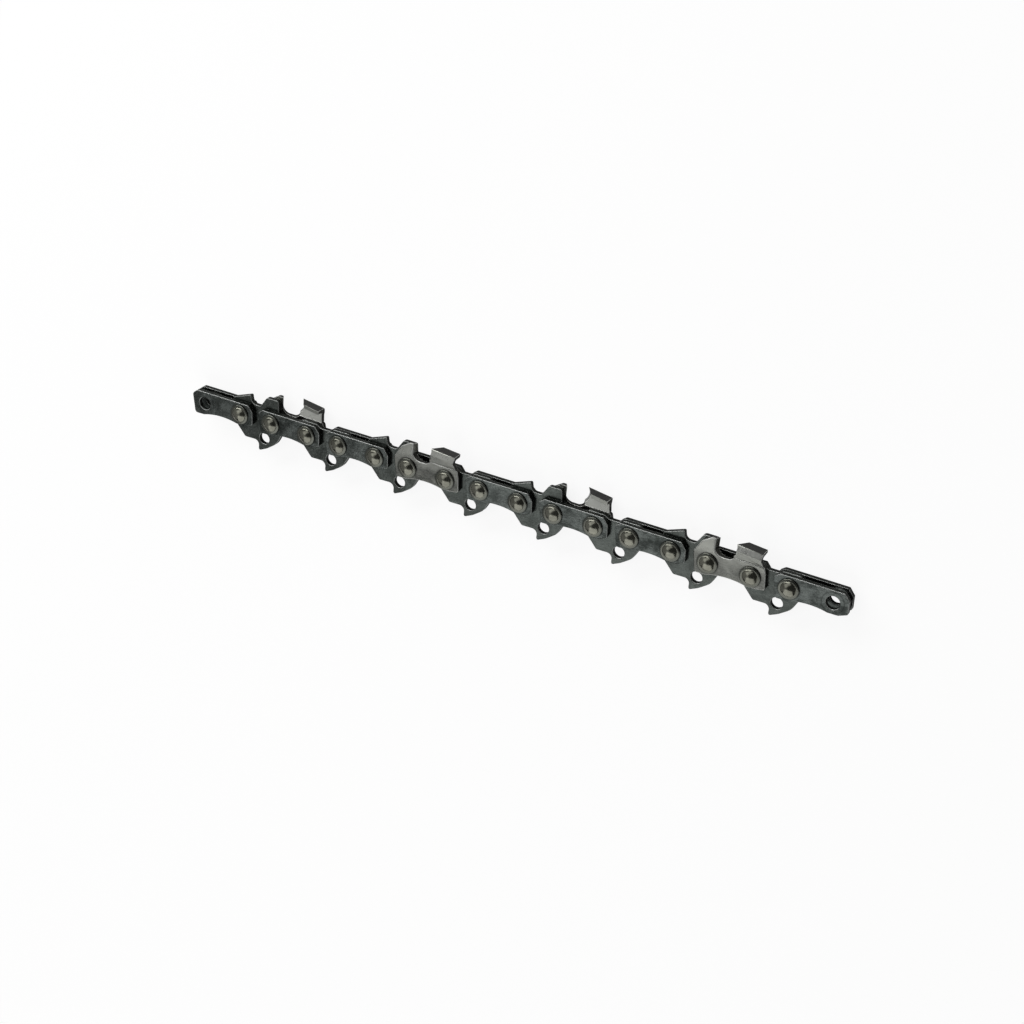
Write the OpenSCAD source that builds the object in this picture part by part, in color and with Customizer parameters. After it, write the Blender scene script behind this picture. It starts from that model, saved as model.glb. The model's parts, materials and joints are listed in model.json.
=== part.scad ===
// Chainsaw chain: an open strand of strap pairs and drive links, lying on its side.
// +X runs along the strand and the chain travels toward -X, +Y points to the cutter tops,
// and +Z runs along the rivets to the left-hand side of the chain.
// The origin is the centre of the open rivet hole at the leading end.

/* [Strand] */
// Half the distance spanned by three rivets in a row
pitch = 9.32; // [8.6:0.02:10]
// Rivet spacing inside a strap pair
strap_spacing = 9.9; // [9.4:0.05:10.4]
// Number of strap pairs, cutters on every second one
pair_count = 9; // [3:2:13]
// Width that a finished cut would have
kerf = 6.1; // [5.4:0.1:6.8]

/* [Plates] */
// Thickness of a drive link, which is the chain's gauge
gauge = 1.27; // [1.1:0.01:1.5]
// Thickness of a tie strap or cutter body
strap_thickness = 1.2; // [0.9:0.05:1.4]
// Side clearance between a drive link and each strap
side_clearance = 0.05; // [0.02:0.01:0.1]

/* [Rivets] */
// Diameter of the rivet shank, which fills the strap holes
shank_d = 3.2; // [2.6:0.1:3.6]
// Diameter of the rivet hub, on which the drive link turns
hub_d = 4.2; // [3.8:0.1:4.5]
// Radial clearance of the drive link on the hub
hub_clearance = 0.05; // [0.02:0.01:0.1]
// Diameter of the head's seat on the strap
head_d = 4.6; // [4:0.1:5]
// Height of the head's seat
head_step = 0.35; // [0.2:0.05:0.5]
// Diameter of the peened crown on the head
crown_d = 3.6; // [3:0.1:3.8]
// Height of the whole head above the strap
head_height = 0.9; // [0.7:0.05:1.1]
// Height of the crown's dome
crown_dome = 0.3; // [0.1:0.05:0.4]

/* [Drive links] */
// How far a drive link reaches past its rivets
link_reach = 3.05; // [2.8:0.05:3.3]
// Radius that rounds off both ends of a drive link
link_nose = 1.5; // [1.2:0.1:1.8]
// Height of a plain link's shoulders over the rivet line
shoulder_height = 3; // [2.7:0.05:3.2]
// How far a shoulder's flat runs to each side of its rivet
shoulder_run = 1.9; // [1.4:0.05:2.1]
// Height of a plain link's saddle between the shoulders
saddle_height = 2.3; // [1.8:0.05:2.6]
// Length of the saddle's floor
saddle_span = 2.4; // [1.6:0.1:3]
// Height of the bumper link's pointed fin
fin_height = 5.25; // [4.9:0.05:5.8]
// How far the fin's tip stands behind the link's front rivet
fin_tip = 2.2; // [1.8:0.1:2.6]
// How far the fin's slope reaches in front of that rivet
fin_reach = 2.4; // [2:0.1:2.6]
// How far the fin's slope drops towards the leading end
fin_drop = 1.75; // [1.2:0.05:2]
// Height of the bumper link's hump beside the depth gauge
hump_height = 5.75; // [5.2:0.05:6.2]
// How far the hump starts in front of the link's rear rivet
hump_front = 2.1; // [1.7:0.1:2.4]
// How far the hump ends behind that rivet
hump_rear = 1.1; // [0.8:0.1:1.3]
// Height of the bumper link's notch between fin and hump
notch_height = 3.1; // [2.6:0.05:3.5]
// Radius of the notch behind the fin
notch_radius = 1.3; // [0.9:0.1:1.5]
// Depth of the tang's front shoulder below the rivet line
tang_shoulder = 5.95; // [5.4:0.05:6.3]
// Depth of the tang's toe below the rivet line
tang_depth = 8.5; // [7.8:0.05:9.2]
// How far the tang's front corner stands behind the front rivet
tang_front = 0.95; // [0.6:0.05:1.3]
// How far the toe's front edge stands behind the link's middle
toe_set = 0.5; // [0.2:0.05:0.8]
// Length of the toe's lower edge
toe_length = 2.2; // [1.6:0.1:2.8]
// Radius of the hooked throat in front of the toe
hook_radius = 1.3; // [0.9:0.05:1.6]
// Diameter of the oil hole through the tang
oil_hole_d = 2.8; // [2:0.1:3]
// Depth of the oil hole's centre below the rivet line
oil_hole_depth = 5; // [4.7:0.05:5.4]
// How far the oil hole's centre lies behind the link's middle
oil_hole_set = 2; // [1.7:0.05:2.3]

/* [Tie straps] */
// Height of a strap's top edge over the rivet line
strap_top = 2.9; // [2.7:0.05:3.1]
// How far a strap's trailing end reaches past its rivet
strap_rear_reach = 3.65; // [3.5:0.05:3.9]
// How far a strap's leading end reaches past its rivet
strap_front_reach = 3.6; // [3.3:0.05:3.9]
// Length of the slanted corner on top of the trailing end
end_slant_run = 1.3; // [0.9:0.05:1.7]
// Drop of the slanted corner
end_slant_drop = 1.6; // [1:0.05:1.9]
// Depth of the strap's leading foot below the rivet line
front_foot = 3.05; // [2.7:0.05:3.2]
// Depth of the strap's trailing foot below the rivet line
rear_foot = 2.6; // [2.4:0.05:3]
// Rise of the waist between the two feet
waist_rise = 0.65; // [0.4:0.05:1]
// Length of the waist along the strap
waist_span = 9.4; // [7:0.1:10]

/* [Cutters] */
// Height of the top plate at its working corner
top_height = 7; // [6.6:0.05:7.4]
// How far the depth gauge stays below the working corner
gauge_setting = 0.6; // [0.4:0.05:0.9]
// How far the depth gauge reaches behind the front rivet
gauge_reach = 1.4; // [1:0.05:1.7]
// Length of the flat on top of the depth gauge
gauge_flat = 1.1; // [0.6:0.1:1.5]
// Length of the ramp in front of the depth gauge
gauge_ramp_run = 2.2; // [1.6:0.1:2.6]
// Angle of the ramp in front of the depth gauge
gauge_ramp = 33; // [20:1:38]
// Length of the top plate
top_length = 6.4; // [5.4:0.05:6.6]
// How far the top plate ends past the rear rivet
top_overhang = 2.25; // [1.8:0.05:2.5]
// Thickness of the top plate
top_thickness = 0.9; // [0.7:0.05:1.2]
// How far the top plate reaches over the chain's middle plane
top_cross = 0.2; // [0:0.05:0.6]
// Width of the chamfer that slants off the working corner
corner_width = 0.55; // [0.3:0.05:0.8]
// Angle of the cutting edge seen from above
edge_angle = 30; // [20:1:35]
// Angle at which the top plate falls to the rear
relief_angle = 6.5; // [4:0.5:8]
// Angle at which the tooth draws in to the rear
side_relief = 2.5; // [1:0.5:4]
// Angle at which the side plate flares out
flare_angle = 25; // [22:1:30]
// Height at which the side plate starts to flare
flare_start = 3.15; // [3:0.05:3.4]
// Depth of the hollow in the tooth's rear edge
heel_hollow = 0.25; // [0.1:0.05:0.5]
// Diameter of the round file that shapes the cutting edge
file_d = 4.5; // [4:0.1:5]
// Radius of the gullet beside the depth gauge
gullet_radius = 1.75; // [1.4:0.05:1.9]
// Height of the gullet's floor over the rivet line
gullet_floor = 2.4; // [2.2:0.05:2.8]

/* [Hidden] */
$fn = 64;
// Degrees between the points of a rounded corner
arc_step = 12;
// Extra length of a cutting tool past the face it cuts
past = 1;

// Rivet spacings measured from a link's own centre
drive_spacing = 2 * pitch - strap_spacing;
half_strap = strap_spacing / 2;
half_drive = drive_spacing / 2;

// Planes across the chain, from the middle outward
strap_inner = gauge / 2 + side_clearance;
strap_outer = strap_inner + strap_thickness;
head_top = strap_outer + head_height;
tooth_outer = kerf / 2;

// Depth gauge and tooth, along the cutter
gauge_top = top_height - gauge_setting;
gauge_rear = -half_strap + gauge_reach;
tooth_rear = half_strap + top_overhang;
tooth_tip = tooth_rear - top_length;
// The working corner stands inside the tooth's widest line
corner_z = tooth_outer - corner_width;
flare_top = flare_start + (tooth_outer - strap_outer) / tan(flare_angle);
// The tooth draws in, so the line where its flare leaves the body climbs to the rear
crease_rise = top_length * (tan(side_relief) / tan(flare_angle) - tan(relief_angle));

// The file stands a fifth of its diameter above the top plate
file_r = file_d / 2;
file_y = top_height + file_d / 5 - file_r;
file_x = tooth_tip - sqrt(file_r * file_r - pow(top_height - file_y, 2));
// The gullet's wall at the gauge ends here, and the tooth's rear edge leans out to its foot
gullet_top = gullet_floor + gullet_radius;
tooth_foot = tooth_rear + 0.25;
// The gullet ends under the tooth's tip, with a tighter corner than at the gauge
gullet_end = tooth_tip + 0.09 * file_d;
gullet_end_radius = 0.8 * gullet_radius;

// Radii of a drive link's upper corners and of its toe
shoulder_round = 0.6;
toe_corner = 0.4;

// Depth at which a tooth is sunk into its body
sink = 0.15;
// Circle that the shoulders of a drive link sweep about a rivet
shoulder_sweep = norm([shoulder_run, shoulder_height]) + side_clearance;

is_cutter_pair = [for (i = [0 : pair_count]) i > 0 && i % 2 == 0];
// Cutters alternate: right, left, right, left
function cutter_is_left(pair) = pair % 4 == 0;
function has_cutter(pair, left) = is_cutter_pair[pair] && cutter_is_left(pair) == left;
function is_bumper(link) = link + 1 <= pair_count && is_cutter_pair[link + 1];
function pair_x(pair) = half_strap + (pair - 1) * 2 * pitch;
function link_x(link) = pair_x(link) + pitch;
function rivet_x(rivet) =
    pair_x(floor(rivet / 2) + 1) + (rivet % 2 == 0 ? -half_strap : half_strap);

function side_name(left) = left ? "left" : "right";
function plate_name(pair, left) =
    str(has_cutter(pair, left) ? "cutter_" : "tie_strap_", pair, "_", side_name(left));
function link_name(link) = str(is_bumper(link) ? "bumper_link_" : "drive_link_", link);
function rivet_name(rivet) = str("rivet_", rivet);

link_count = pair_count - 1;
rivet_count = 2 * link_count;

// Unit vector along v
function unit(v) = v / norm(v);

// Points that round corner b of an outline, between its neighbours a and c
function rounded_corner(a, b, c) =
    let (
        corner = [b.x, b.y],
        to_a = [a.x, a.y] - corner,
        to_c = [c.x, c.y] - corner,
        half_angle = acos(unit(to_a) * unit(to_c)) / 2,
        room = 0.48 * min(norm(to_a), norm(to_c)) * tan(half_angle),
        r = min(b.z, room),
        centre = corner + unit(unit(to_a) + unit(to_c)) * r / sin(half_angle),
        first = corner + unit(to_a) * r / tan(half_angle) - centre,
        last = corner + unit(to_c) * r / tan(half_angle) - centre,
        start = atan2(first.y, first.x),
        turn = atan2(last.y, last.x) - start,
        sweep = turn > 180 ? turn - 360 : turn < -180 ? turn + 360 : turn,
        steps = max(1, ceil(abs(sweep) / arc_step))
    )
    r < 0.01 ? [corner]
    : [for (i = [0 : steps]) centre + r * [cos(start + sweep * i / steps), sin(start + sweep * i / steps)]];

// An outline from corners given as [x, y, radius]
function rounded(corners) =
    let (n = len(corners))
    [for (i = [0 : n - 1])
        each rounded_corner(corners[(i + n - 1) % n], corners[i], corners[(i + 1) % n])];

// The tang and both ends below the shoulders, the same on every drive link
function link_lower() = [
    [-half_drive - link_reach, link_nose, link_nose],
    [-half_drive - link_reach, -link_nose, link_nose],
    [-half_drive + tang_front, -tang_shoulder, 0.7],
    [toe_set, 0.1 - tang_shoulder, hook_radius],
    [toe_set, -tang_depth, toe_corner],
    [toe_set + toe_length, 1 - tang_depth, 2 * hook_radius],
    [half_drive + 1, 0.4 - tang_shoulder, 3 * hook_radius],
    [half_drive + link_reach, -link_nose, link_nose],
    [half_drive + link_reach, link_nose, link_nose]
];

function plain_top() = [
    [half_drive + shoulder_run, shoulder_height, shoulder_round],
    [half_drive - shoulder_run, shoulder_height, 2 * shoulder_round],
    [saddle_span / 2, saddle_height, link_nose],
    [-saddle_span / 2, saddle_height, link_nose],
    [-half_drive + shoulder_run, shoulder_height, 2 * shoulder_round],
    [-half_drive - shoulder_run, shoulder_height, shoulder_round]
];

function bumper_top() = [
    [half_drive + hump_rear + 0.35, strap_top - 0.3, toe_corner],
    [half_drive + hump_rear, hump_height, 0.5],
    [half_drive - hump_front, hump_height, 0.9],
    [half_drive - hump_front - (hump_height - notch_height) / 1.6, notch_height, 0.7],
    [-half_drive + fin_tip + 0.4, notch_height, notch_radius],
    [-half_drive + fin_tip, fin_height, 0.3],
    [-half_drive - fin_reach, fin_height - fin_drop, shoulder_round]
];

module drive_link_plate(top) {
    difference() {
        linear_extrude(gauge, center = true)
            polygon(rounded(concat(link_lower(), top)));
        for (x = [-half_drive, half_drive])
            translate([x, 0, 0])
                cylinder(d = hub_d + 2 * hub_clearance, h = gauge + past, center = true);
        translate([oil_hole_set, -oil_hole_depth, 0])
            cylinder(d = oil_hole_d, h = gauge + past, center = true);
    }
}

module drive_link() {
    color([0.27, 0.29, 0.28]) drive_link_plate(plain_top());
}

module bumper_link() {
    color([0.25, 0.27, 0.26]) drive_link_plate(bumper_top());
}

// Rivet holes and waist, cut from a tie strap or a cutter body
module strap_cuts() {
    waist_r = (pow(waist_span / 2, 2) + pow(waist_rise, 2)) / (2 * waist_rise);
    foot = (front_foot + rear_foot) / 2;
    for (x = [-half_strap, half_strap])
        translate([x, 0, strap_inner - past])
            cylinder(d = shank_d, h = strap_thickness + 2 * past);
    translate([0, -foot + waist_rise - waist_r, strap_inner - past])
        cylinder(r = waist_r, h = strap_thickness + 2 * past);
}

// Lower corners of a tie strap or a cutter body, from the leading end to the trailing end,
// whose last corner stands higher by rise
function foot_corners(rise) = [
    [-half_strap - strap_front_reach, strap_top - 1, 0.9],
    [-half_strap - strap_front_reach + 0.85, -front_foot, 0.8],
    [half_strap + shank_d / 2, -rear_foot, 1.5],
    [half_strap + strap_rear_reach, rise - rear_foot, 0.5]
];

module tie_strap() {
    slant_end = half_strap + strap_rear_reach - 0.15;
    color([0.3, 0.32, 0.31])
        difference() {
            translate([0, 0, strap_inner])
                linear_extrude(strap_thickness)
                    polygon(rounded(concat(foot_corners(0.8), [
                        [slant_end, strap_top - end_slant_drop, 0.2],
                        [slant_end - end_slant_run, strap_top, 0.2],
                        [-half_strap - head_d / 2, strap_top, 0.6]
                    ])));
            strap_cuts();
        }
}

// Cutter body with its depth gauge, seen from the side
module cutter_body() {
    ramp_start = gauge_rear - gauge_flat - gauge_ramp_run;
    translate([0, 0, strap_inner])
        linear_extrude(strap_thickness)
            polygon(rounded(concat(foot_corners(0.3), [
                [half_strap + strap_rear_reach - 0.35, strap_top - 1.5, 0.5],
                [tooth_foot + 0.45, strap_top - 0.15, 0.4],
                [tooth_foot, flare_start + crease_rise, 0],
                [gullet_end, flare_start, 0],
                [gauge_rear + gullet_radius, flare_start, 0],
                [gauge_rear + gullet_radius, gullet_top, 0],
                [gauge_rear + strap_thickness, gullet_top, 0],
                [gauge_rear + strap_thickness, gauge_top, 0],
                [gauge_rear - gauge_flat, gauge_top, 0.6],
                [ramp_start, gauge_top - gauge_ramp_run * tan(gauge_ramp), 0.9]
            ])));
}

// Section across the tooth, as [y, z]: flared side plate, chamfer, working corner and top plate
module tooth_section() {
    foot = flare_start - strap_thickness / 2;
    // The walls keep the strap's thickness round the bend
    shift = strap_thickness * tan(flare_angle / 2);
    under = top_height - top_thickness;
    inner_rise = (under - flare_start + shift) * tan(flare_angle);
    polygon(rounded([
        [foot, strap_inner, 0],
        [foot, strap_outer, 0],
        [flare_start, strap_outer, 0.6],
        [flare_top, tooth_outer, 0.2],
        [top_height, corner_z, 0.4],
        [top_height, -top_cross, 0.1],
        [under, -top_cross, 0.1],
        [under, min(strap_inner + inner_rise, corner_z) - 0.2, 0.5],
        [flare_start - shift, strap_inner, 0.5]
    ]));
}

// What the round file takes away in front of the cutting edge
module file_cut() {
    reach = kerf + 2 * past;
    translate([file_x, file_y, corner_z])
        rotate([0, -edge_angle, 0]) {
            cylinder(d = file_d, h = 3 * reach, center = true);
            translate([-file_d, 0, 0])
                cube([2 * file_d, file_d, 3 * reach], center = true);
        }
}

// The section drawn along the tooth, which falls and draws in to the rear
module tooth() {
    heel_top = top_height - top_thickness;
    difference() {
        intersection() {
            translate([tooth_tip, top_height, tooth_outer])
                rotate([0, side_relief, -relief_angle])
                    translate([-past, -top_height, -tooth_outer])
                        rotate([90, 0, 90])
                            linear_extrude(top_length + 3 * past)
                                tooth_section();
            translate([0, 0, -kerf])
                linear_extrude(2 * kerf)
                    polygon(rounded([
                        [tooth_tip - past, flare_start - sink, 0],
                        [tooth_foot, flare_start - sink, 0],
                        [tooth_foot, flare_start, 0.5],
                        [tooth_rear - heel_hollow, heel_top - 1.4, 2],
                        [tooth_rear, heel_top - 0.4, 0.1],
                        [tooth_rear, top_height + past, 0],
                        [tooth_tip - past, top_height + past, 0]
                    ]));
        }
        file_cut();
        // Room on the inside for the shoulders of the next drive link
        translate([tooth_tip, 0, strap_inner - kerf])
            cube([top_length + past, shoulder_sweep, kerf]);
    }
}

// The gullet between depth gauge and tooth, cut at the angle of the cutting edge
module gullet() {
    slant = cos(edge_angle);
    wall = gauge_rear * slant;
    left = wall + gullet_radius;
    right = gullet_end * slant - gullet_end_radius;
    translate([0, 0, strap_inner + strap_thickness / 2])
        rotate([0, -edge_angle, 0]) {
            translate([left, gullet_top, -kerf])
                cylinder(r = gullet_radius, h = 2 * kerf);
            translate([right, gullet_floor + gullet_end_radius, -kerf])
                cylinder(r = gullet_end_radius, h = 2 * kerf);
            translate([left, gullet_floor, -kerf])
                cube([right - left, gullet_radius + file_d / 10, 2 * kerf]);
            translate([left, gullet_floor + gullet_end_radius, -kerf])
                cube([right + gullet_end_radius - left, file_d / 10, 2 * kerf]);
            translate([wall, gullet_top, -kerf])
                cube([gullet_radius, top_height, 2 * kerf]);
        }
}

module cutter() {
    color([0.52, 0.51, 0.48])
        difference() {
            union() {
                cutter_body();
                tooth();
            }
            gullet();
            strap_cuts();
        }
}

// Half of the rivet's outline, as [radius, height], from the middle plane to the crown
function rivet_half() = concat(
    [
        [hub_d / 2, 0],
        [hub_d / 2, strap_inner],
        [shank_d / 2, strap_inner],
        [shank_d / 2, strap_outer]
    ],
    rounded_corner([0, strap_outer, 0], [head_d / 2, strap_outer, 0], [head_d / 2, head_top, 0]),
    rounded_corner(
        [head_d / 2, strap_outer, 0],
        [head_d / 2, strap_outer + head_step, 0.15],
        [crown_d / 2, strap_outer + head_step, 0]
    ),
    [[crown_d / 2 + 0.05, strap_outer + head_step]],
    rounded_corner(
        [crown_d / 2, strap_outer + head_step, 0],
        [crown_d / 2 - 0.05, head_top - crown_dome, 0.25],
        [0, head_top, 0]
    ),
    [[0, head_top]]
);

function flipped(points) = [for (i = [len(points) - 1 : -1 : 1]) [points[i].x, -points[i].y]];

module rivet() {
    color([0.55, 0.54, 0.49])
        rotate_extrude()
            polygon(concat(flipped(rivet_half()), rivet_half()));
}

// A plate on its own side of the chain
module plate(pair, left) {
    translate([pair_x(pair), 0, 0])
        mirror([0, 0, left ? 0 : 1])
            if (has_cutter(pair, left)) cutter();
            else tie_strap();
}

module link(number) {
    translate([link_x(number), 0, 0])
        if (is_bumper(number)) bumper_link();
        else drive_link();
}

for (pair = [1 : pair_count])
    for (left = [true, false])
        plate(pair, left);

for (number = [1 : link_count])
    link(number);

for (number = [1 : rivet_count])
    translate([rivet_x(number), 0, 0]) rivet();
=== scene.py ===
import json
import math
import random

import bmesh
import bpy
from mathutils import Matrix, Vector
from mathutils.bvhtree import BVHTree


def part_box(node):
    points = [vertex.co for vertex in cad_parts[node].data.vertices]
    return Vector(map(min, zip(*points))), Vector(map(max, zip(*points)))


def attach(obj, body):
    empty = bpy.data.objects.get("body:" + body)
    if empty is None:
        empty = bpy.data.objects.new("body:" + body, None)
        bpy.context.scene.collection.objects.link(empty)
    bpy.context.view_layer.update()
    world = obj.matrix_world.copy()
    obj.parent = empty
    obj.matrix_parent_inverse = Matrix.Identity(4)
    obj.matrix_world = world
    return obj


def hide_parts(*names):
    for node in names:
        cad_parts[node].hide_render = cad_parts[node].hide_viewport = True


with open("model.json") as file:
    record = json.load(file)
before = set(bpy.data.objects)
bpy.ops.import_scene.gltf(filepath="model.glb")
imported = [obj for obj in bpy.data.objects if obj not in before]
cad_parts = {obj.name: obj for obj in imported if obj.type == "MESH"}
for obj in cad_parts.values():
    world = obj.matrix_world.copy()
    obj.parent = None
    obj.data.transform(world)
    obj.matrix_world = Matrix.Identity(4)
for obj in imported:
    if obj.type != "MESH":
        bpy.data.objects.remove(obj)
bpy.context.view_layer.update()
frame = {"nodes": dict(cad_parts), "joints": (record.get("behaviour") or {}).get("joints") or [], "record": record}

MM = 0.001
NODES = frame["nodes"]
BODIES = frame["record"]["behaviour"]["bodies"]
JOINTS = frame["joints"]

# The rivet holes repeat along the chain: one at the start of each strap pair and one at its end
EYES = sorted([0.0] + [joint["pos_m"][0] for joint in JOINTS])
STRAP_SPACING = EYES[1] - EYES[0]
CHAIN_STEP = EYES[2] - EYES[0]
MIDDLE = Vector(((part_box("tie_strap_1_left")[0].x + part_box("tie_strap_9_left")[1].x) / 2, 0, 0))
STRAP_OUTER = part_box("tie_strap_5_left")[1].z
STRAP_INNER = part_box("tie_strap_5_left")[0].z
SIDE_PLANES = (STRAP_OUTER, STRAP_INNER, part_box("drive_link_2")[1].z)
FLOOR = min(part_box(node)[0].z for node in NODES)
# From a cutter's rear end to the front of its tooth, and how high its filed hollow starts
TOOTH_LENGTH = 9 * MM
FILE_LOW = 3.3 * MM

# Camera, at the photograph's viewing angle
CAMERA_FROM_MIDDLE = Vector((165.9, 201.9, 355.2)) * MM
AIM_FROM_MIDDLE = Vector((2.9, -3.8, 0)) * MM
CAMERA_ROLL = math.radians(5.7)
FOCAL_LENGTH = 68.8
SENSOR_WIDTH = 36
CLIP_START = 10 * MM


def make_camera():
    data = bpy.data.cameras.new("camera")
    data.lens = FOCAL_LENGTH
    data.sensor_width = SENSOR_WIDTH
    data.clip_start = CLIP_START
    camera = bpy.data.objects.new("camera", data)
    bpy.context.scene.collection.objects.link(camera)
    back = (CAMERA_FROM_MIDDLE - AIM_FROM_MIDDLE).normalized()
    up = (Vector((0, 1, 0)) - back * back.y).normalized()
    right = up.cross(back)
    turned = Matrix((right, up, back)).transposed() @ Matrix.Rotation(CAMERA_ROLL, 3, "Z")
    camera.matrix_world = Matrix.Translation(MIDDLE + CAMERA_FROM_MIDDLE) @ turned.to_4x4()
    bpy.context.scene.camera = camera


# Node trees, written as expressions
class Wire:
    """An output of a node tree. Arithmetic on values adds Math nodes."""

    def __init__(self, tree, socket=None):
        self.tree = tree
        self.socket = socket

    def node(self, kind, sockets=None, out=0, **settings):
        """A new node with its settings, its inputs' values or links, and the output to use."""
        made = self.tree.nodes.new(kind)
        for name, value in settings.items():
            setattr(made, name, value)
        for name, value in (sockets or {}).items():
            if isinstance(value, Wire):
                self.tree.links.new(value.socket, made.inputs[name])
            else:
                made.inputs[name].default_value = value
        return Wire(self.tree, made.outputs[out] if len(made.outputs) else None)

    def math(self, operation, *values):
        return self.node("ShaderNodeMath", dict(enumerate((self, *values))), operation=operation)

    def __add__(self, other):
        return self.math("ADD", other)

    def __sub__(self, other):
        return self.math("SUBTRACT", other)

    def __rsub__(self, other):
        return self * -1.0 + other

    def __mul__(self, other):
        return self.math("MULTIPLY", other)

    __radd__ = __add__
    __rmul__ = __mul__

    def step(self, low, high):
        """0 below low, 1 above high and smooth between, or the reverse if low is above high."""
        sockets = {"Value": self, "From Min": low, "From Max": high}
        return self.node("ShaderNodeMapRange", sockets, interpolation_type="SMOOTHSTEP")

    def between(self, low, high):
        """The value 0 to 1 stretched over low to high."""
        return self * (high - low) + low


# The Mix node's colour sockets by number, because those of its other kinds bear the same names
MIX_INPUTS = (6, 7)
MIX_RESULT = 2


def mix_colour(factor, first, second):
    """first where factor is 0, second where it is 1."""
    mixed = factor.node("ShaderNodeMix", data_type="RGBA", blend_type="MIX")
    mix = mixed.socket.node
    tree = factor.tree
    tree.links.new(factor.socket, mix.inputs["Factor"])
    for index, colour in zip(MIX_INPUTS, (first, second)):
        if isinstance(colour, Wire):
            tree.links.new(colour.socket, mix.inputs[index])
        else:
            mix.inputs[index].default_value = (*colour, 1)
    return Wire(tree, mix.outputs[MIX_RESULT])


def new_material(name):
    material = bpy.data.materials.new(name)
    material.use_nodes = True
    material.node_tree.nodes.clear()
    return material, Wire(material.node_tree)


def place_in_mm(tree, stretch=(1, 1, 1)):
    """Object coordinates in millimetres, stretched for grain that runs one way."""
    coordinates = tree.node("ShaderNodeTexCoord", out="Object")
    scale = [share / MM for share in stretch]
    return tree.node("ShaderNodeMapping", {"Vector": coordinates, "Scale": scale})


def noise(tree, vector, scale, detail, roughness=0.5):
    sockets = {"Vector": vector, "Scale": scale, "Detail": detail, "Roughness": roughness}
    return tree.node("ShaderNodeTexNoise", sockets, out="Fac")


# Whole steps ahead of the chain, so that no place on it counts as negative
STEPS_BEFORE = 20


def rivet_distance(tree):
    """Distance in millimetres from the nearest rivet's axis."""
    split = tree.node("ShaderNodeSeparateXYZ", {"Vector": place_in_mm(tree)})
    along, across = (Wire(tree.tree, split.socket.node.outputs[axis]) for axis in "XY")
    step = CHAIN_STEP / MM
    distances = []
    for first in (0.0, STRAP_SPACING / MM):
        # Half a step on, each hole lies in the middle of what the modulo folds
        shifted = along + ((STEPS_BEFORE + 0.5) * step - first)
        folded = shifted.math("FLOORED_MODULO", step) - step / 2
        square = folded * folded + across * across
        distances.append(square.math("SQRT"))
    return distances[0].math("MINIMUM", distances[1])


def zone(tree, name):
    """A mask that is stored on the mesh's faces."""
    return tree.node("ShaderNodeAttribute", out="Fac", attribute_name=name)


class Steel:
    """One steel finish.

    face and deep are a face's light and dark cloud, and wall_face, rim and top are the colours of its walls,
    partly painted dark reflection and on a rivet painted shade, of its rims, painted highlights with some wear,
    and of cutters' top plates, partly painted dark reflection. seat is that of a rivet's flange, grain the bump's
    share, and crest how much painted light brightens a face towards its upper edge.
    """

    def __init__(self, face, deep, wall_face, rim, top, roughness, grain, crest=0.0, seat=None):
        self.face = face
        self.deep = deep
        self.wall_face = wall_face
        self.rim = rim
        self.top = top
        self.roughness = roughness
        self.grain = grain
        self.crest = crest
        self.seat = seat


# Grain that runs along the chain, as polishing leaves it, and through a plate, as the punch tears it
ALONG_PLATE = (0.3, 3.4, 3.4)
ACROSS_PLATE = (2.6, 2.6, 0.35)
# The mottling's contrast, and the heights in millimetres over which a cutter's face gets painted light
CLOUD_SPAN = (0.41, 0.61)
CREST_SPAN = (0.5, 4.0)
# Where a noise starts and ends to show, and the cover that it leaves there
SHADE_GRIME_SPECKS = (0.1, 0.6)
TORN_SPAN = (0.35, 0.75)
TORN_COVER = (1.0, 0.82)
TOP_SPECKS = (0.15, 0.8)
TOP_COVER = (1.0, 0.85)
HIGHLIGHT_WEAR_SPECKS = (0.25, 0.55)
HIGHLIGHT_WEAR_COVER = (0.65, 1.0)
# Colours against a finish's own: a bright face, and the painted shade and grime
BRIGHTENED = 1.9
DARK_SHADE_AND_GRIME = 0.25
# How far a full shade takes a face towards the bright one
SHADE_LIFT = 0.6
# The ring of painted shade and grime past a head in millimetres: its outer end, where it is full, and its soft
# inner edge
SHADE_GRIME_REACH = 0.4
SHADE_GRIME_START = 0.05
SHADE_GRIME_EDGE = 0.02
# How strong that ring is, and how much the painted shade and grime hide of the face under them
SHADE_GRIME_DEPTH = 0.45
SHADE_GRIME_COVER = 0.85
# Over this many millimetres past its crown, a rivet takes its flange's colour
FLANGE_EDGE = 0.1
# A bright rim is this much less metallic, so that its painted highlight stays light where it mirrors the dark
RIM_DIFFUSE = 0.7
BUMP_DEPTH = 0.04 * MM
BUMP_STRENGTH = 0.3


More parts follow.
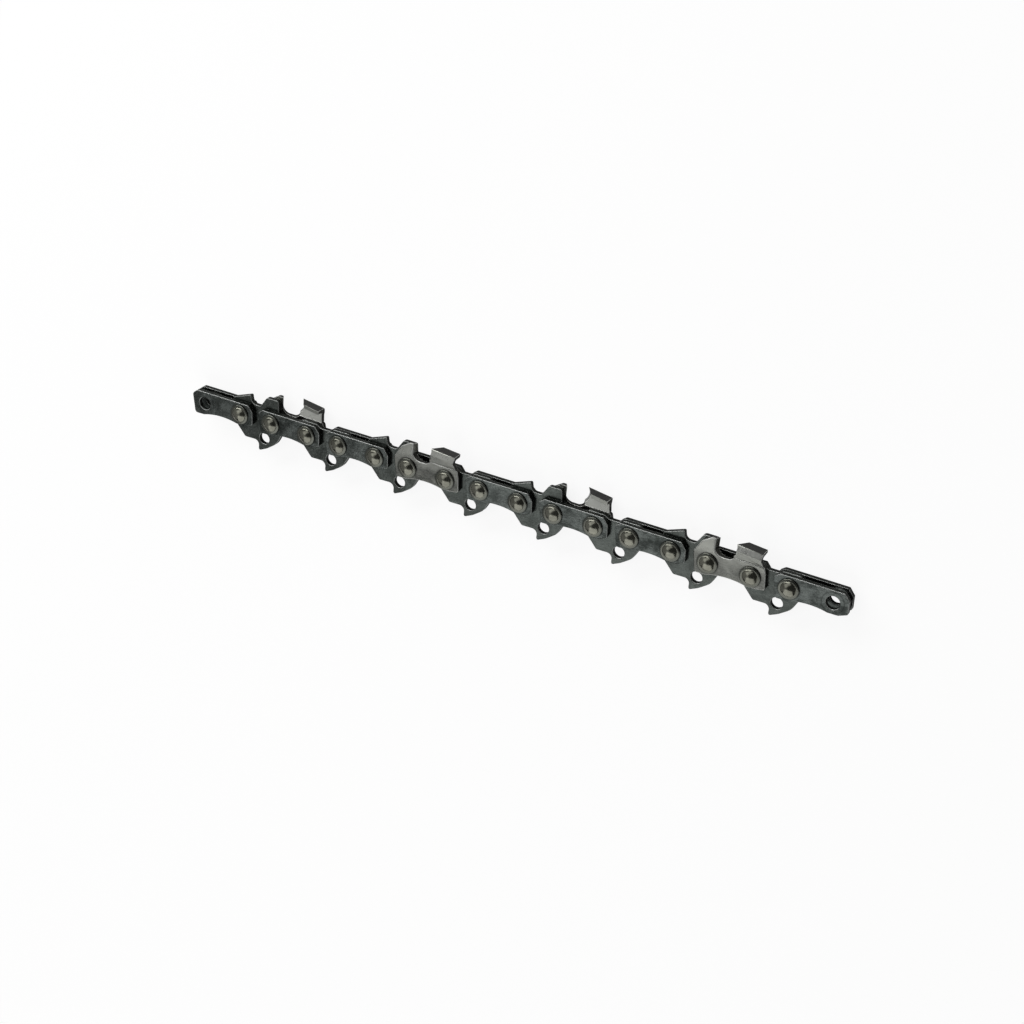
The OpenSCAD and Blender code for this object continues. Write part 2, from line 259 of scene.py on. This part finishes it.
def steel_material(name, steel):
    material, tree = new_material(name)
    place = place_in_mm(tree)
    cloud = noise(tree, place, scale=0.35, detail=4.0, roughness=0.6)
    speck = noise(tree, place, scale=2.6, detail=5.0, roughness=0.65)
    scratch = noise(tree, place_in_mm(tree, ALONG_PLATE), scale=2.0, detail=4.0, roughness=0.7)
    tears = noise(tree, place_in_mm(tree, ACROSS_PLATE), scale=2.2, detail=3.0, roughness=0.6)
    rim = zone(tree, "rim")
    top = zone(tree, "top")
    wall_face = zone(tree, "wall_face")
    filed_and_highlit = zone(tree, "filed_and_highlit")
    shade = zone(tree, "shade")
    crease = zone(tree, "crease")
    near_rivet = rivet_distance(tree)

    # Cloud, specks and scratches mottle the faces, which are brighter on some plates, and high on a cutter with
    # painted light
    height_up = tree.node("ShaderNodeSeparateXYZ", {"Vector": place}, out="Y")
    tone = (cloud * 0.5 + speck * 0.2 + scratch * 0.3).step(*CLOUD_SPAN)
    colour = mix_colour(tone, steel.deep, steel.face)
    # On a cutter, painted light brightens the face towards its top
    lift = shade * SHADE_LIFT + height_up.step(*CREST_SPAN) * steel.crest
    colour = mix_colour(lift, colour, tuple(BRIGHTENED * c for c in steel.face))
    # A ring of painted shade, with some oil and dust, darkens the strap around each rivet's head
    head = HEAD_RADIUS / MM
    past_head = near_rivet.step(head - SHADE_GRIME_EDGE, head + SHADE_GRIME_EDGE)
    close_by = near_rivet.step(head + SHADE_GRIME_REACH, head + SHADE_GRIME_START)
    halo = past_head * close_by * speck.step(*SHADE_GRIME_SPECKS) * SHADE_GRIME_DEPTH
    # The crease between a cutter's body and its flare gets the same painted shade
    shade_and_grime = halo.math("MAXIMUM", crease) * (1 - wall_face)
    colour = mix_colour(shade_and_grime * SHADE_GRIME_COVER, colour, tuple(DARK_SHADE_AND_GRIME * c for c in steel.deep))
    if steel.seat:
        crown_edge = (SHOULDER_MIDDLE + SHOULDER_RADIUS) / MM
        seat = near_rivet.step(crown_edge, crown_edge + FLANGE_EDGE) * (1 - wall_face)
        colour = mix_colour(seat, colour, steel.seat)
    # Walls are dark: punched ones torn and partly painted dark reflection, a rivet's upright walls painted shade
    wall_cover = wall_face * tears.step(*TORN_SPAN).between(*TORN_COVER)
    colour = mix_colour(wall_cover, colour, steel.wall_face)
    # A cutter's top plate is darker: partly its own finish, partly painted dark reflection
    colour = mix_colour(top * speck.step(*TOP_SPECKS).between(*TOP_COVER), colour, steel.top)
    # Filed faces are bare and bright, and a cutter's chamfer gets a painted highlight
    colour = mix_colour(filed_and_highlit, colour, steel.rim)
    # Rims that look up or back are bright: painted highlights with some wear
    lit_and_worn = rim * speck.step(*HIGHLIGHT_WEAR_SPECKS).between(*HIGHLIGHT_WEAR_COVER)
    colour = mix_colour(lit_and_worn, colour, steel.rim)

    # The mottling, the painted shade and grime, and the torn walls are rougher, each by the share beside it
    rough = steel.roughness + (cloud - 0.5) * 0.14 + (speck - 0.5) * 0.12
    rough = rough + shade_and_grime * 0.2 + wall_cover * 0.22 + top * 0.12
    # The relief is of scratches and specks, tears in the walls and the cloud's slow waves
    height = scratch + speck * 0.8 + wall_face * tears * 1.6 + cloud * 8.0
    bump = tree.node("ShaderNodeBump", {
        "Height": height,
        "Strength": BUMP_STRENGTH * steel.grain,
        "Distance": BUMP_DEPTH,
    })
    shader = tree.node("ShaderNodeBsdfPrincipled", {
        "Base Color": colour,
        "Metallic": 1 - rim * RIM_DIFFUSE,
        "Roughness": rough,
        "Normal": bump,
    })
    tree.node("ShaderNodeOutputMaterial", {"Surface": shader})
    return material


# The dark wall colours are partly painted dark reflection, on a rivet painted shade; the rim colours carry painted
# highlights, and a cutter's top colour partly painted dark reflection
STEELS = {
    "strap_steel": Steel(
        face=(0.158, 0.175, 0.166), deep=(0.036, 0.041, 0.038), wall_face=(0.028, 0.031, 0.027),
        rim=(0.42, 0.435, 0.42), top=(0.03, 0.033, 0.03), roughness=0.26, grain=1.0,
    ),
    "drive_steel": Steel(
        face=(0.115, 0.128, 0.119), deep=(0.06, 0.067, 0.062), wall_face=(0.028, 0.031, 0.027),
        rim=(0.34, 0.355, 0.34), top=(0.03, 0.033, 0.03), roughness=0.24, grain=1.0,
    ),
    "cutter_steel": Steel(
        face=(0.217, 0.222, 0.203), deep=(0.056, 0.058, 0.054), wall_face=(0.05, 0.05, 0.045),
        rim=(0.6, 0.61, 0.58), top=(0.085, 0.085, 0.082), roughness=0.29, grain=0.8, crest=0.6,
    ),
    # A rivet's near-black wall colour is painted shade
    "rivet_steel": Steel(
        face=(0.27, 0.27, 0.225), deep=(0.18, 0.18, 0.149), wall_face=(0.012, 0.012, 0.01),
        rim=(0.6, 0.6, 0.54), top=(0.2, 0.2, 0.17), roughness=0.19, grain=0.3,
        seat=(0.15, 0.155, 0.135),
    ),
}


# Plates: each stamped plate keeps the frame's shape, with its rims broken as tumbling leaves them.
# The press rolls the outer rims over further: a cutter's most, up to RIM_WIDE_BELOW, and of the other
# plates' only those that look up or back
WIDE_RIM = 0.22 * MM
TOP_RIM = 0.15 * MM
PLAIN_RIM = 0.08 * MM
RIM_STEPS = 4
# The full weight, at which a corner's normal follows its largest face
NORMAL_WEIGHT = 100
# An edge is broken if its faces meet at more than SHARP, and dissolved if at less than LEVEL
SHARP = math.radians(32)
LEVEL = math.radians(0.5)
SAME_PLACE = 0.002 * MM
SAME_HEIGHT = 0.01 * MM
PAST_OUTLINE = 0.004 * MM

# Faces by their normals: how far they look up (rise), along the rivets (tilt) or ahead
UPWARD = 0.8
SHEARED = 0.5
FLAT = 0.9999
FILED_AHEAD = 0.25
TOP_RISE = 0.35
CHAMFER_RISE = (0.15, 0.6)
CHAMFER_TILT = (0.7, 0.99)
FLARE_TILT = (0.3, 0.97)
# A cutter's crease, where the flare meets the body, by its faces' tilt, fall and height: it gets painted shade
CREASE_TILT = (0.93, 0.998)
CREASE_FALL = 0.35
CREASE_HIGH = 1.4 * FILE_LOW
RIM_WIDE_BELOW = 2 * FILE_LOW
# A rim's painted highlight and wear grow from none to all over these rises
HIGHLIGHT_WEAR_RISE = (0.1, 0.35)

# How much brighter a plate is: the cutters by how bright their chrome has stayed, the others by chance
BRIGHT_CUTTERS = {
    "cutter_8_left": 0.35, "cutter_4_left": 0.12, "cutter_2_right": 0.15, "cutter_6_right": 0.2,
}
BRIGHT_PLATES = 0.2
BRIGHT_SEED = 1347
# Painted shade on a cutter's flare, which takes back some of its crest's painted light
FLARE_PAINTED_SHADE = 0.2
# How strong a painted highlight a cutter's chamfer gets, against the cutter's shade
CHAMFER_HIGHLIGHT = 2.0


def rim_width(edge, node, outer):
    """How far one edge of a plate is broken. outer is the height of the plate's outer faces."""
    if len(edge.link_faces) != 2 or edge.calc_face_angle() < SHARP:
        return 0.0
    if not all(abs(abs(vert.co.z) - outer) < SAME_HEIGHT for vert in edge.verts):
        return PLAIN_RIM
    if node.startswith("cutter"):
        return WIDE_RIM if max(vert.co.y for vert in edge.verts) < RIM_WIDE_BELOW else PLAIN_RIM
    up_or_back = max(max(face.normal.x, face.normal.y) for face in edge.link_faces)
    return TOP_RIM if up_or_back > TOP_RISE else PLAIN_RIM


def merged_copy(node):
    """The node's mesh as one closed surface with its flat faces whole and its rims weighed."""
    work = bmesh.new()
    work.from_mesh(NODES[node].data)
    bmesh.ops.remove_doubles(work, verts=work.verts, dist=SAME_PLACE)
    bmesh.ops.dissolve_limit(
        work, angle_limit=LEVEL, verts=work.verts, edges=work.edges, delimit={"NORMAL"}
    )
    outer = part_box(node)[1].z if "link" in node else STRAP_OUTER
    weight = work.edges.layers.float.new("bevel_weight_edge")
    for edge in work.edges:
        edge[weight] = rim_width(edge, node, outer) / WIDE_RIM
    mesh = bpy.data.meshes.new(node + "_plate")
    work.to_mesh(mesh)
    work.free()
    piece = bpy.data.objects.new(node + "_plate", mesh)
    bpy.context.scene.collection.objects.link(piece)
    return piece


def apply_modifiers(piece):
    """The piece's evaluated mesh takes the place of its own, and its modifiers go."""
    depsgraph = bpy.context.evaluated_depsgraph_get()
    final = bpy.data.meshes.new_from_object(piece.evaluated_get(depsgraph), depsgraph=depsgraph)
    piece.modifiers.clear()
    piece.data = final


def within(value, span):
    return span[0] < value < span[1]


def store_masks(mesh, masks):
    """Keeps one value a face under each name, for the materials to read."""
    for name, values in masks.items():
        spread = [value for face, value in zip(mesh.polygons, values) for _ in range(face.loop_total)]
        mesh.attributes.new(name, "FLOAT", "CORNER").data.foreach_set("value", spread)


def mark_zones(mesh, node):
    """Masks for the materials: rims with painted highlights, walls, top plate, filed hollow with the chamfer's
    painted highlight, crease for painted shade, and shade.
    """
    masks = {name: [] for name in ("rim", "wall_face", "top", "filed_and_highlit", "crease", "shade")}
    is_cutter = node.startswith("cutter")
    tooth_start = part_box(node)[1].x - TOOTH_LENGTH
    chance = random.Random(f"{node} {BRIGHT_SEED}")
    shade = BRIGHT_CUTTERS.get(node, chance.uniform(0, BRIGHT_PLATES))
    for face in mesh.polygons:
        rise, tilt = face.normal.y, abs(face.normal.z)
        is_rim = face.material_index == 1
        wall_face = not is_rim and tilt < SHEARED
        high = is_cutter and face.center.y > FILE_LOW
        filed = high and wall_face and face.normal.x < -FILED_AHEAD and face.center.x > tooth_start
        chamfered = high and within(rise, CHAMFER_RISE) and within(tilt, CHAMFER_TILT)
        flared = high and within(tilt, FLARE_TILT)
        # The crease faces, marked below for painted shade
        bent = is_cutter and not is_rim and within(tilt, CREASE_TILT) and 0 > rise * tilt > -CREASE_FALL
        # The rims that look up or back get a painted highlight with some wear, and on a cutter the waist's too
        lit_and_worn = max(rise, face.normal.x, -rise if is_cutter else 0)
        start, end = HIGHLIGHT_WEAR_RISE
        masks["rim"].append(float(is_rim) * min(max((lit_and_worn - start) / (end - start), 0), 1))
        masks["wall_face"].append(float(wall_face and not filed))
        # A cutter's top plate is marked for its darker colour, partly painted dark reflection
        masks["top"].append(float(rise > UPWARD and high and not is_rim))
        # The filed hollow is bare steel, and a cutter's chamfer gets a painted highlight in the same mask
        masks["filed_and_highlit"].append(float(filed) + CHAMFER_HIGHLIGHT * shade * float(chamfered))
        masks["crease"].append(float(bent and face.center.y < CREASE_HIGH))
        # A cutter's flare gets painted shade against the crest's painted light
        masks["shade"].append(shade - FLARE_PAINTED_SHADE * float(flared))
    store_masks(mesh, masks)


def pull_inside(mesh, node):
    """Moves what a rim pushes past the outline of a flat plate back onto it."""
    source = NODES[node].data
    surface = BVHTree.FromPolygons(
        [vert.co for vert in source.vertices], [face.vertices for face in source.polygons]
    )
    low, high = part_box(node)
    for vert in mesh.vertices:
        # Asked at half the plate's height, where the nearest wall is the outline
        spot, normal, _, _ = surface.find_nearest((vert.co.x, vert.co.y, (low.z + high.z) / 2))
        past = (vert.co.x - spot.x) * normal.x + (vert.co.y - spot.y) * normal.y
        if abs(normal.z) < SHEARED and past > PAST_OUTLINE:
            vert.co.x, vert.co.y = spot.x, spot.y


def refill_sides(mesh):
    """Fills the flat sides anew between their rims, which leaves no face that folds over itself."""
    work = bmesh.new()
    work.from_mesh(mesh)
    outward = {}
    for plane in {round(sign * height / MM, 3) * MM for sign in (-1, 1) for height in SIDE_PLANES}:
        on_plane = {vert for vert in work.verts if abs(vert.co.z - plane) < SAME_PLACE}
        flats = [
            face for face in work.faces if face.material_index == 0 and on_plane.issuperset(face.verts)
        ]
        if not flats:
            continue
        up = math.copysign(1, sum(face.normal.z * face.calc_area() for face in flats))
        bmesh.ops.delete(work, geom=flats, context="FACES")
        rings = [
            edge for edge in work.edges if len(edge.link_faces) == 1 and on_plane.issuperset(edge.verts)
        ]
        filled = bmesh.ops.triangle_fill(work, edges=rings, use_beauty=True, normal=(0, 0, up))
        outward.update({item: up for item in filled["geom"] if isinstance(item, bmesh.types.BMFace)})
    bmesh.ops.recalc_face_normals(work, faces=work.faces)
    for face, up in outward.items():
        if face.normal.z * up < 0:
            face.normal_flip()
    for face in work.faces:
        face.smooth = True
    work.to_mesh(mesh)
    work.free()


def flatten_faces(mesh):
    """The plate's two flat sides take their own normals right up to the rims."""
    normals = [corner.vector.copy() for corner in mesh.corner_normals]
    for face in mesh.polygons:
        if face.material_index == 0 and abs(face.normal.z) > FLAT:
            for loop in face.loop_indices:
                normals[loop] = face.normal.copy()
    mesh.normals_split_custom_set(normals)


def make_plate(node, material):
    piece = merged_copy(node)
    mesh = piece.data
    mesh.materials.clear()
    mesh.materials.append(material)
    mesh.materials.append(material)
    mesh.shade_smooth()
    bevel = piece.modifiers.new("rim", "BEVEL")
    bevel.width = WIDE_RIM
    bevel.segments = RIM_STEPS
    bevel.limit_method = "WEIGHT"
    bevel.use_clamp_overlap = False
    bevel.loop_slide = False
    bevel.material = 1
    bevel.miter_outer = "MITER_ARC"
    apply_modifiers(piece)
    if not node.startswith("cutter"):
        pull_inside(piece.data, node)
    refill_sides(piece.data)
    piece.modifiers.new("normals", "WEIGHTED_NORMAL").weight = NORMAL_WEIGHT
    apply_modifiers(piece)
    flatten_faces(piece.data)
    mark_zones(piece.data, node)
    return piece


def dress_plates(steels):
    slots = {row["node"]: row["material_slot"] for row in frame["record"]["subparts"]}
    for body, members in BODIES.items():
        for node in members:
            if node.startswith("rivet"):
                continue
            piece = make_plate(node, steels[slots[node]])
            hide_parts(node)
            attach(piece, body)


# Rivets: a turned profile, revolved and set on each axis by one node tree
HEAD_RADIUS = 2.4 * MM
HEAD_STEP = 0.34 * MM
CROWN_TOP = 1.0 * MM
DOME_RADIUS = 3.1 * MM
SHOULDER_MIDDLE = 1.48 * MM
SHOULDER_RADIUS = 0.32 * MM
SHOULDER_TURN = math.radians(76)
DOME_STEPS = 8
SHOULDER_STEPS = 6
HEAD_FILLET = 0.16 * MM
FILLET_STEPS = 3
# Small slopes of the flange's top and wall, and its lift off the strap
HEAD_SLOPE = 0.04 * MM
HEAD_SPREAD = 0.02 * MM
HEAD_LIFT = 0.01 * MM
# The shank against the rivet's whole width, and the hub against the shank
SHANK_SHARE = 0.34
HUB_SHARE = 1.3
RIVET_SIDES = 72
# The circle that the profile is swept round; the profile is moved in by as much
PROFILE_CIRCLE = 5 * MM
WELD = 0.001 * MM
WALL_TILT = 0.3
RIVET_TONES = 0.25


def crown():
    """The peened crown as (radius, height): a dome that turns over a round shoulder."""
    join = math.asin(SHOULDER_MIDDLE / (DOME_RADIUS - SHOULDER_RADIUS))
    dome_middle = STRAP_OUTER + CROWN_TOP - DOME_RADIUS
    shoulder_height = dome_middle + (DOME_RADIUS - SHOULDER_RADIUS) * math.cos(join)
    dome = [join * i / DOME_STEPS for i in range(DOME_STEPS)]
    shoulder = [join + (SHOULDER_TURN - join) * i / SHOULDER_STEPS for i in range(SHOULDER_STEPS + 1)]
    arcs = (
        (dome, 0, dome_middle, DOME_RADIUS),
        (shoulder, SHOULDER_MIDDLE, shoulder_height, SHOULDER_RADIUS),
    )
    return [
        (middle + radius * math.sin(turn), height + radius * math.cos(turn))
        for turns, middle, height, radius in arcs
        for turn in turns
    ]


def rivet_profile():
    """Corners of one rivet as (radius, height), from the crown's middle to the other crown's."""
    low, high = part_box("rivet_1")
    shank = (high.x - low.x) * SHANK_SHARE
    half = crown() + [
        (SHOULDER_MIDDLE + SHOULDER_RADIUS + HEAD_SLOPE, STRAP_OUTER + HEAD_STEP),
        (HEAD_RADIUS, STRAP_OUTER + HEAD_STEP - HEAD_SLOPE),
        (HEAD_RADIUS + HEAD_SPREAD, STRAP_OUTER + HEAD_LIFT),
        (shank, STRAP_OUTER + HEAD_LIFT),
        (shank, STRAP_INNER),
        (shank * HUB_SHARE, STRAP_INNER),
    ]
    return half + [(radius, -height) for radius, height in reversed(half)]


def rivet_tree():
    """Revolves the profile that comes in and repeats it along the chain."""
    group = bpy.data.node_groups.new("rivets", "GeometryNodeTree")
    interface = group.interface
    interface.new_socket("Profile", in_out="INPUT", socket_type="NodeSocketGeometry")
    for name, kind, value in (
        ("Fillet", "NodeSocketFloat", HEAD_FILLET),
        ("Sides", "NodeSocketInt", RIVET_SIDES),
        ("Count", "NodeSocketInt", 1),
        ("First", "NodeSocketVector", (0, 0, 0)),
        ("Step", "NodeSocketVector", (STRAP_SPACING, 0, 0)),
        ("Seed", "NodeSocketInt", 0),
        ("Steel", "NodeSocketMaterial", None),
    ):
        socket = interface.new_socket(name, in_out="INPUT", socket_type=kind)
        if value is not None:
            socket.default_value = value
    interface.new_socket("Rivets", in_out="OUTPUT", socket_type="NodeSocketGeometry")

    tree = Wire(group)
    given = tree.node("NodeGroupInput").socket.node.outputs

    def wire(name):
        return Wire(group, given[name])

    outline = tree.node("GeometryNodeMeshToCurve", {"Mesh": wire("Profile")})
    rounded = tree.node(
        "GeometryNodeFilletCurve",
        {"Curve": outline, "Count": FILLET_STEPS, "Radius": wire("Fillet"), "Limit Radius": True},
        mode="POLY",
    )
    circle = tree.node(
        "GeometryNodeCurvePrimitiveCircle", {"Resolution": wire("Sides"), "Radius": PROFILE_CIRCLE}
    )
    turned = tree.node("GeometryNodeCurveToMesh", {"Curve": circle, "Profile Curve": rounded})
    closed = tree.node("GeometryNodeMergeByDistance", {"Geometry": turned, "Distance": WELD})
    smooth = tree.node("GeometryNodeSetShadeSmooth", {"Geometry": closed})
    places = tree.node("GeometryNodeMeshLine", {
        "Count": wire("Count"), "Start Location": wire("First"), "Offset": wire("Step"),
    })
    rivets = tree.node("GeometryNodeInstanceOnPoints", {"Points": places, "Instance": smooth})
    chance = tree.node("FunctionNodeRandomValue", {"Seed": wire("Seed")}, out=1, data_type="FLOAT")
    toned = tree.node(
        "GeometryNodeStoreNamedAttribute",
        {"Geometry": rivets, "Name": "shade", "Value": chance * RIVET_TONES},
        data_type="FLOAT", domain="INSTANCE",
    )
    real = tree.node("GeometryNodeRealizeInstances", {"Geometry": toned})
    painted = tree.node("GeometryNodeSetMaterial", {"Geometry": real, "Material": wire("Steel")})
    tree.node("NodeGroupOutput", {"Rivets": painted})
    return group


def mark_rivets(mesh):
    """A mask for the rivets' material, whose upright walls get painted shade."""
    walls = [float(abs(face.normal.z) < WALL_TILT) for face in mesh.polygons]
    store_masks(mesh, {"wall_face": walls})


def dress_rivets(material):
    group = rivet_tree()
    inputs = {item.name: item.identifier for item in group.interface.items_tree if item.in_out == "INPUT"}
    corners = [(radius - PROFILE_CIRCLE, -height, 0) for radius, height in rivet_profile()]
    for seed, (body, members) in enumerate(BODIES.items()):
        nodes = [node for node in members if node.startswith("rivet")]
        if not nodes:
            continue
        mesh = bpy.data.meshes.new(body + "_rivets")
        mesh.from_pydata(corners, [(i, i + 1) for i in range(len(corners) - 1)], [])
        piece = bpy.data.objects.new(body + "_rivets", mesh)
        bpy.context.scene.collection.objects.link(piece)
        modifier = piece.modifiers.new("rivets", "NODES")
        modifier.node_group = group
        boxes = [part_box(node) for node in nodes]
        first = min((low.x + high.x) / 2 for low, high in boxes)
        modifier[inputs["Count"]] = len(nodes)
        modifier[inputs["First"]] = (first, 0.0, 0.0)
        modifier[inputs["Seed"]] = seed
        modifier[inputs["Steel"]] = material
        apply_modifiers(piece)
        mark_rivets(piece.data)
        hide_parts(*nodes)
        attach(piece, body)


# Studio: a pale floor, seen by the camera as nearly white, and soft boxes that the steel mirrors
FLOOR_REACH = 6
FLOOR_GAP = 0.01 * MM
FLOOR_TINTS = ((0.93, 0.93, 0.93), (0.95, 0.95, 0.95))
FLOOR_ROUGHNESS = 0.9
FLOOR_GLOW = 1.1
GLOW_SHARE = 0.8
LIGHT_DISTANCE = 0.9
LIGHTS = {
    # Direction from the chain, width and height, and power
    "key": ((-0.5, 0.75, 0.42), (1.0, 0.3), 5),
    "overhead": ((-0.3, 0.3, 0.9), (0.9, 0.4), 0.8),
    "front": ((-0.03, -0.79, 0.57), (0.95, 1.05), 2.9),
    "side": ((-0.7, -0.25, 0.66), (1.0, 1.1), 0.8),
    "strip": ((0.83, -0.46, 0.28), (0.5, 0.25), 0.4),
}
ROOM_COLOUR = (0.75, 0.76, 0.755, 1)
ROOM_LIGHT = 0.065


def make_floor():
    material, tree = new_material("pale_floor")
    place = place_in_mm(tree)
    tint = noise(tree, place, scale=0.004, detail=2.0)
    colour = mix_colour(tint, *FLOOR_TINTS)
    shader = tree.node("ShaderNodeBsdfPrincipled", {"Base Color": colour, "Roughness": FLOOR_ROUGHNESS})
    seen = tree.node("ShaderNodeLightPath", out="Is Camera Ray")
    glow = tree.node("ShaderNodeEmission", {"Color": (1, 1, 1, 1), "Strength": FLOOR_GLOW})
    surface = tree.node("ShaderNodeMixShader", {"Fac": seen * GLOW_SHARE, 1: shader, 2: glow})
    tree.node("ShaderNodeOutputMaterial", {"Surface": surface})
    mesh = bpy.data.meshes.new("floor")
    corners = [(x * FLOOR_REACH, y * FLOOR_REACH) for x, y in ((-1, -1), (1, -1), (1, 1), (-1, 1))]
    mesh.from_pydata([(x, y, FLOOR - FLOOR_GAP) for x, y in corners], [], [(0, 1, 2, 3)])
    mesh.materials.append(material)
    floor = bpy.data.objects.new("floor", mesh)
    bpy.context.scene.collection.objects.link(floor)


def soft_box(name, direction, size, power):
    data = bpy.data.lights.new(name, "AREA")
    data.shape = "RECTANGLE"
    data.size, data.size_y = size
    data.energy = power
    lamp = bpy.data.objects.new(name, data)
    towards = Vector(direction).normalized()
    lamp.location = MIDDLE + towards * LIGHT_DISTANCE
    lamp.rotation_euler = towards.to_track_quat("Z", "Y").to_euler()
    bpy.context.scene.collection.objects.link(lamp)


def make_lights():
    for name, (direction, size, power) in LIGHTS.items():
        soft_box(name, direction, size, power)
    world = bpy.data.worlds.new("studio")
    bpy.context.scene.world = world
    world.use_nodes = True
    background = world.node_tree.nodes["Background"]
    background.inputs["Color"].default_value = ROOM_COLOUR
    background.inputs["Strength"].default_value = ROOM_LIGHT


make_camera()
finishes = {name: steel_material(name, steel) for name, steel in STEELS.items()}
dress_plates(finishes)
dress_rivets(finishes["rivet_steel"])
make_floor()
make_lights()
bpy.context.scene.view_settings.view_transform = "Standard"
